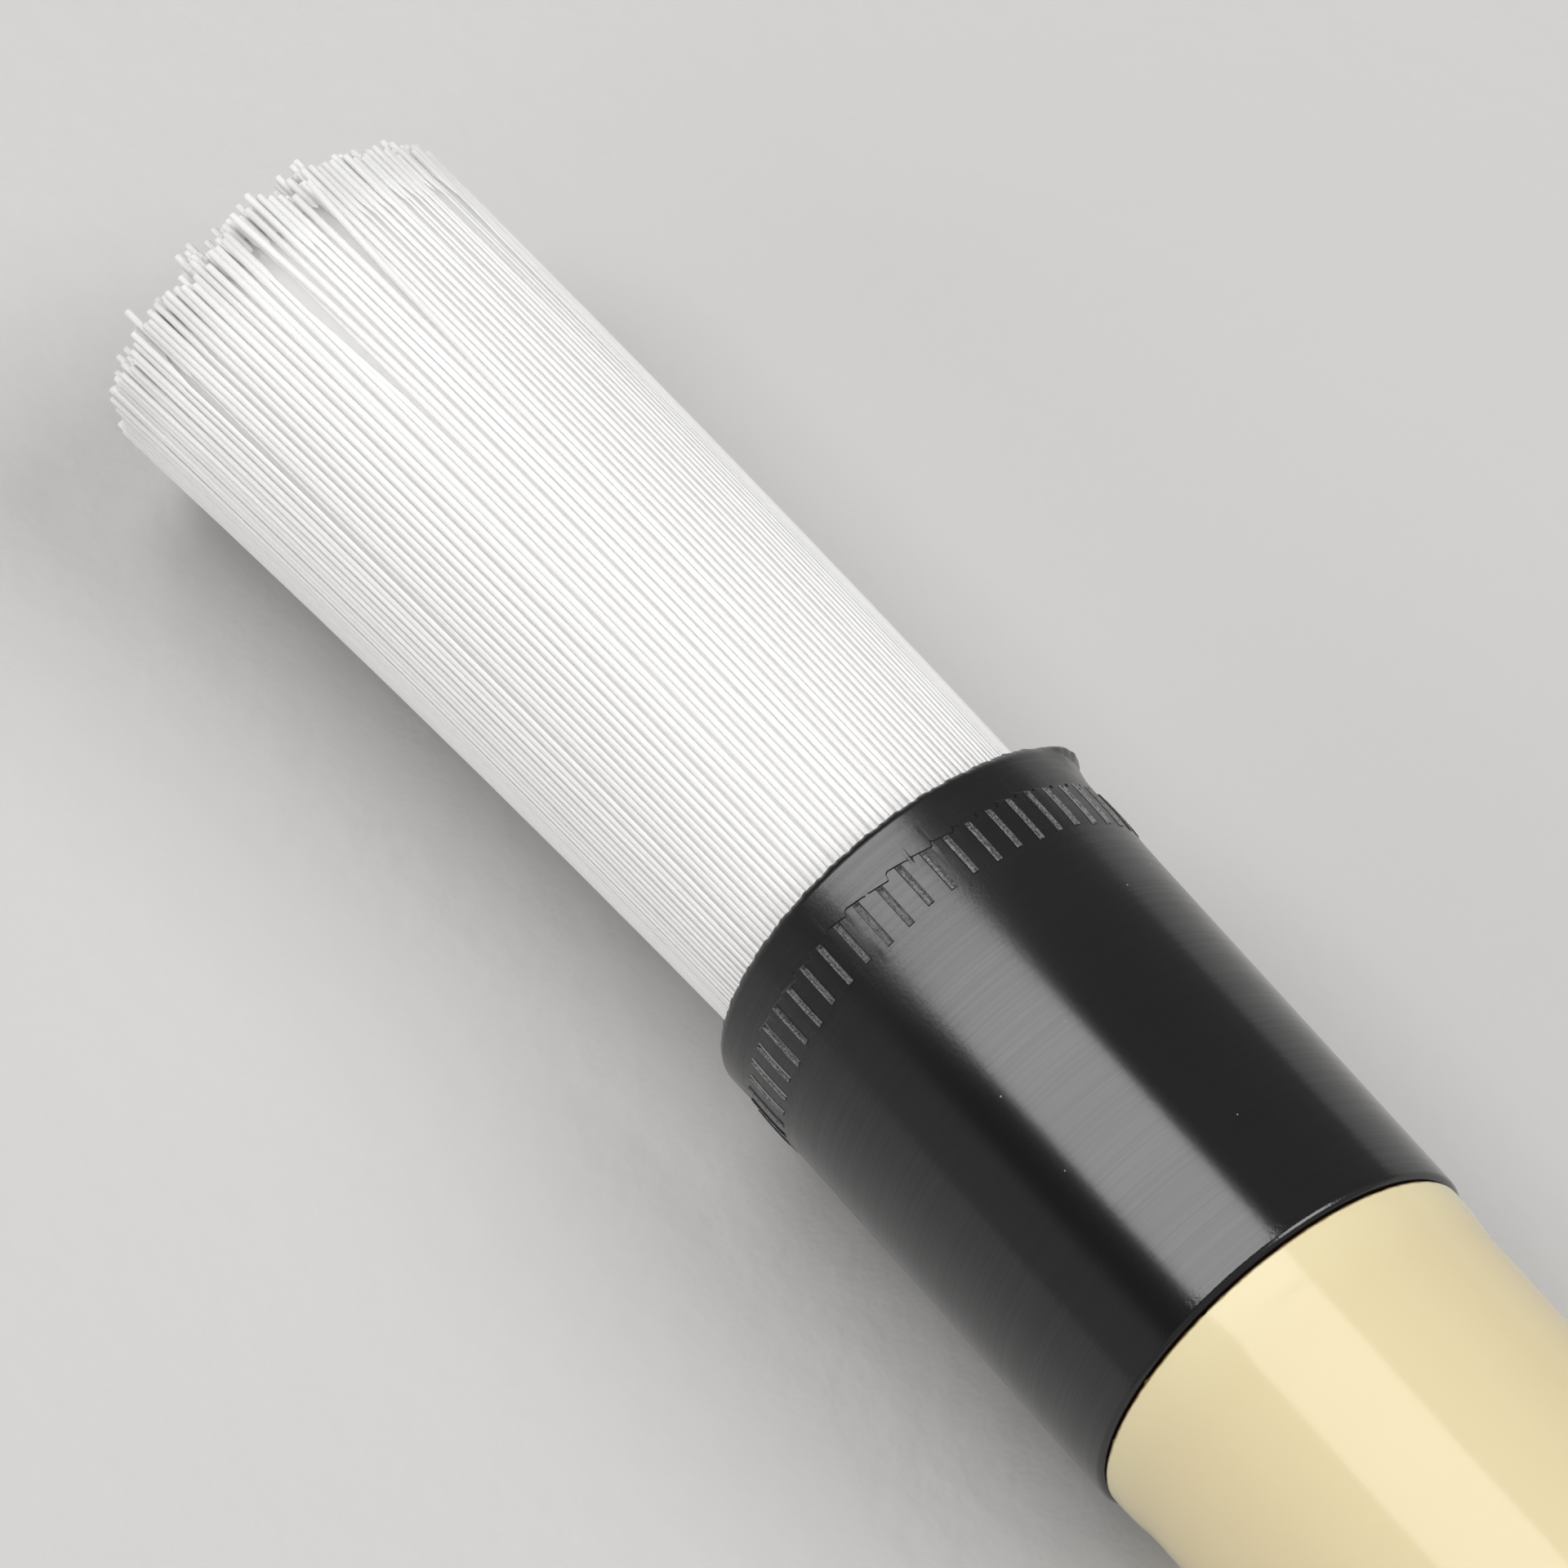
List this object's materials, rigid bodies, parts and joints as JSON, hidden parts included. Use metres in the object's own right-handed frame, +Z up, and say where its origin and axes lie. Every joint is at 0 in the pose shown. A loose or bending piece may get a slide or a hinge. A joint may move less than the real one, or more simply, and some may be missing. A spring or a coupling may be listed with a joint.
{
  "type": "lens cleaning pen",
  "caption": "Pen-shaped lens brush: crimped black ferrule with a clear nylon tuft, cream barrel, and a soft cleaning pad on a flexing neck under a pull-off cap.",
  "frame": {"origin": "on the table, under the middle of the pen's length and width", "axes": "+X along the pen towards the cap, -X towards the brush tip, +Z up, with the pen lying on a table at Z = 0"},
  "size_m": [0.1454, 0.0128, 0.012],
  "materials": {
    "nylon_filament": "clear drawn nylon filament, white in the bundle",
    "amber_resin": "set casting resin",
    "ferrule_black": "gloss black plastic with fine turning lines",
    "cream_lacquer": "glossy cream with a faint orange-peel ripple",
    "cap_black": "moulded black, satin gloss",
    "black_rubber": "soft matte rubber",
    "pad_suede": "short-napped synthetic suede",
    "charging_felt": "dense felt with dry cleaning compound"
  },
  "bodies": {
    "pen": {"bristle_tuft": "nylon_filament", "resin_plug": "amber_resin", "ferrule": "ferrule_black", "barrel": "cream_lacquer", "tip_holder": "cap_black", "cap_seal_ring": "black_rubber", "tip_neck": "black_rubber"},
    "tip": {"tip_head": "cap_black", "cleaning_pad": "pad_suede"},
    "cap": {"cap_tube": "cap_black", "cap_end_plug": "cap_black", "charging_pad": "charging_felt"}
  },
  "joints": [
    {"name": "cap_pull", "type": "slide", "parent": "pen", "child": "cap", "axis": [1, 0, 0], "range_m": [0, 0.03]},
    {"name": "tip_tilt", "type": "hinge", "parent": "pen", "child": "tip", "pos_m": [0.0572, 0, 0.006], "axis": [0, 1, 0], "range_deg": [-10, 10], "stiffness_Nm_per_rad": 0.0015, "deforming": ["tip_neck"]}
  ]
}
